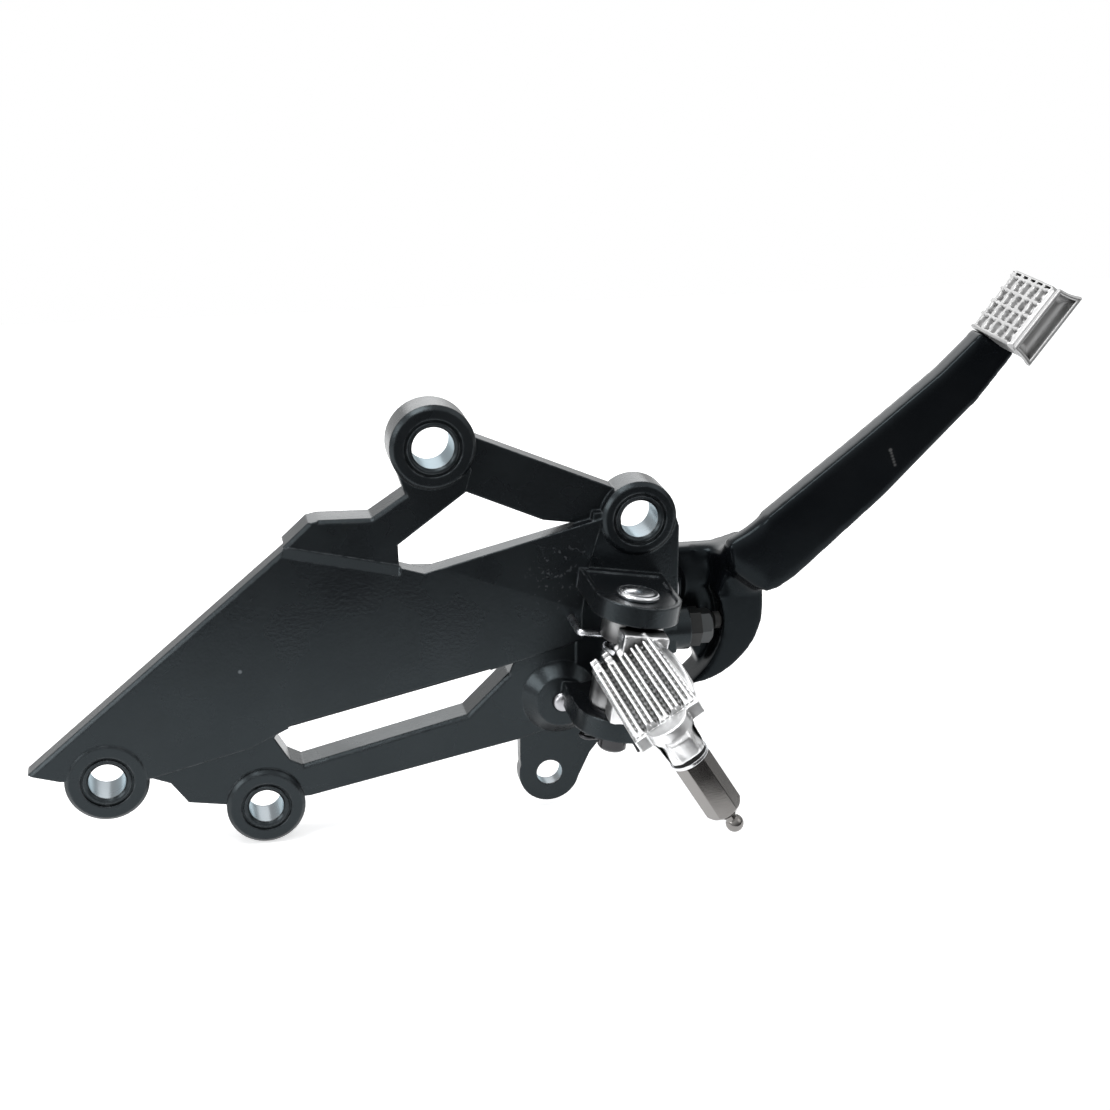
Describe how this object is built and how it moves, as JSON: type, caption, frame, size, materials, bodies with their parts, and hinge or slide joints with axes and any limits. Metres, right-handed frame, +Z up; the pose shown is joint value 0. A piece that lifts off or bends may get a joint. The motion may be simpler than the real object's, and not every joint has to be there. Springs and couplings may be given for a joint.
{
  "type": "motorcycle footrest bracket",
  "caption": "Cast right-hand footrest hanger with heel-guard panel, folding serrated peg with bank feeler, and a long brake pedal with waffle pad",
  "frame": {"origin": "bore A's axis, in the plane of the frame-side boss faces", "axes": "+X along the bracket towards the pedal pad, +Y into the motorcycle along the bores, +Z up as pictured"},
  "size_m": [0.3239, 0.1347, 0.1706],
  "materials": {
    "hanger_paint": "satin black painted casting",
    "pedal_paint": "satin black painted forging",
    "peg_aluminium": "bright cast",
    "pad_aluminium": "grey cast",
    "feeler_chrome": "bright plated",
    "plated_steel": "zinc plated",
    "dark_steel": "dark zinc",
    "spring_steel": "plated wire",
    "bush_bronze": "sintered bronze",
    "black_rubber": "matt"
  },
  "bodies": {
    "hanger": {"hanger": "hanger_paint", "clevis_pin": "plated_steel", "pin_washer": "plated_steel", "split_pin": "plated_steel", "peg_spring": "spring_steel", "peg_shim": "plated_steel", "pivot_bolt": "plated_steel", "pivot_washer_front": "plated_steel", "pivot_washer_rear": "plated_steel", "stop_bolt": "dark_steel", "stop_nut": "dark_steel", "pedal_spring": "spring_steel", "spring_anchor": "plated_steel", "cone_stud": "plated_steel", "cone_nut": "plated_steel"},
    "footpeg": {"footpeg": "peg_aluminium", "feeler": "feeler_chrome", "feeler_washer": "feeler_chrome", "feeler_ring": "black_rubber"},
    "pedal": {"pedal": "pedal_paint", "hub_bush_front": "bush_bronze", "hub_bush_rear": "bush_bronze", "hub_seal_front": "black_rubber", "hub_seal_rear": "black_rubber", "pedal_pad": "pad_aluminium", "pad_screw": "plated_steel", "stop_button": "black_rubber"}
  },
  "joints": [
    {"name": "peg_fold", "type": "hinge", "parent": "hanger", "child": "footpeg", "pos_m": [0.0552, -0.034, -0.0647], "axis": [-0.1564, 0, -0.9877], "range_deg": [0, 80], "stiffness_Nm_per_rad": 0.25, "springref_deg": -28.65, "deforming": ["peg_spring"]},
    {"name": "pedal_press", "type": "hinge", "parent": "hanger", "child": "pedal", "pos_m": [0.07, 0.011, -0.0555], "axis": [0, 1, 0], "range_deg": [0, 8], "stiffness_Nm_per_rad": 6, "springref_deg": -6.88, "deforming": ["pedal_spring"]}
  ]
}
